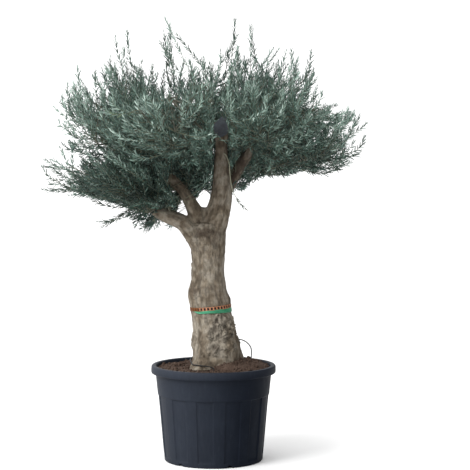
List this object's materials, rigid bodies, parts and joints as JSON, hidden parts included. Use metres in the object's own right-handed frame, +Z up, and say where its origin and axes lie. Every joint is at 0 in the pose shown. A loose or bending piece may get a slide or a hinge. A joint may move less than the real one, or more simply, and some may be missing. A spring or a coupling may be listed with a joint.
{
  "type": "potted olive tree",
  "caption": "Field-grown olive tree with a thick leaning trunk, forked boughs and a feathery grey-green crown, in a ribbed round nursery pot filled with soil.",
  "frame": {"origin": "centre of the flat underside of the pot, at floor level", "axes": "+Z up the tree, +X to the viewer's right and -Y towards the viewer, as the tree is pictured"},
  "size_m": [1.6655, 1.5161, 2.3087],
  "materials": {
    "bark": "rough weathered grey-brown bark with fine cracks, knots and darker scars",
    "foliage": "narrow leathery leaves, grey-green above and silvery below, on thin grey-green shoots",
    "pot_plastic": "satin moulded blue-black plastic with a fine texture",
    "soil": "loose crumbly dark brown soil",
    "wound_sealant": "matt dark blue-grey sealing paint",
    "brown_tape": "thin brown plastic tape with regular dark marks",
    "green_ribbon": "thin glossy green plastic ribbon",
    "line_plastic": "thin black plastic watering line"
  },
  "bodies": {
    "root": {"pot": "pot_plastic", "soil": "soil", "trunk": "bark", "bough_left_low": "bark", "bough_left_high": "bark", "bough_centre": "bark", "bough_right": "bark", "bough_back": "bark", "limb_top": "bark", "limb_front_left": "bark", "limb_front_right": "bark", "limb_right_low": "bark", "limb_back_left": "bark", "sealed_cut": "wound_sealant", "brown_tape": "brown_tape", "green_ribbon": "green_ribbon", "watering_line": "line_plastic", "foliage_left_low": "foliage", "foliage_left_high": "foliage", "foliage_top": "foliage", "foliage_right_high": "foliage", "foliage_right_low": "foliage", "foliage_front_left": "foliage", "foliage_front_right": "foliage", "foliage_back_left": "foliage", "foliage_back_right": "foliage", "drooping_shoot": "foliage"}
  },
  "joints": []
}
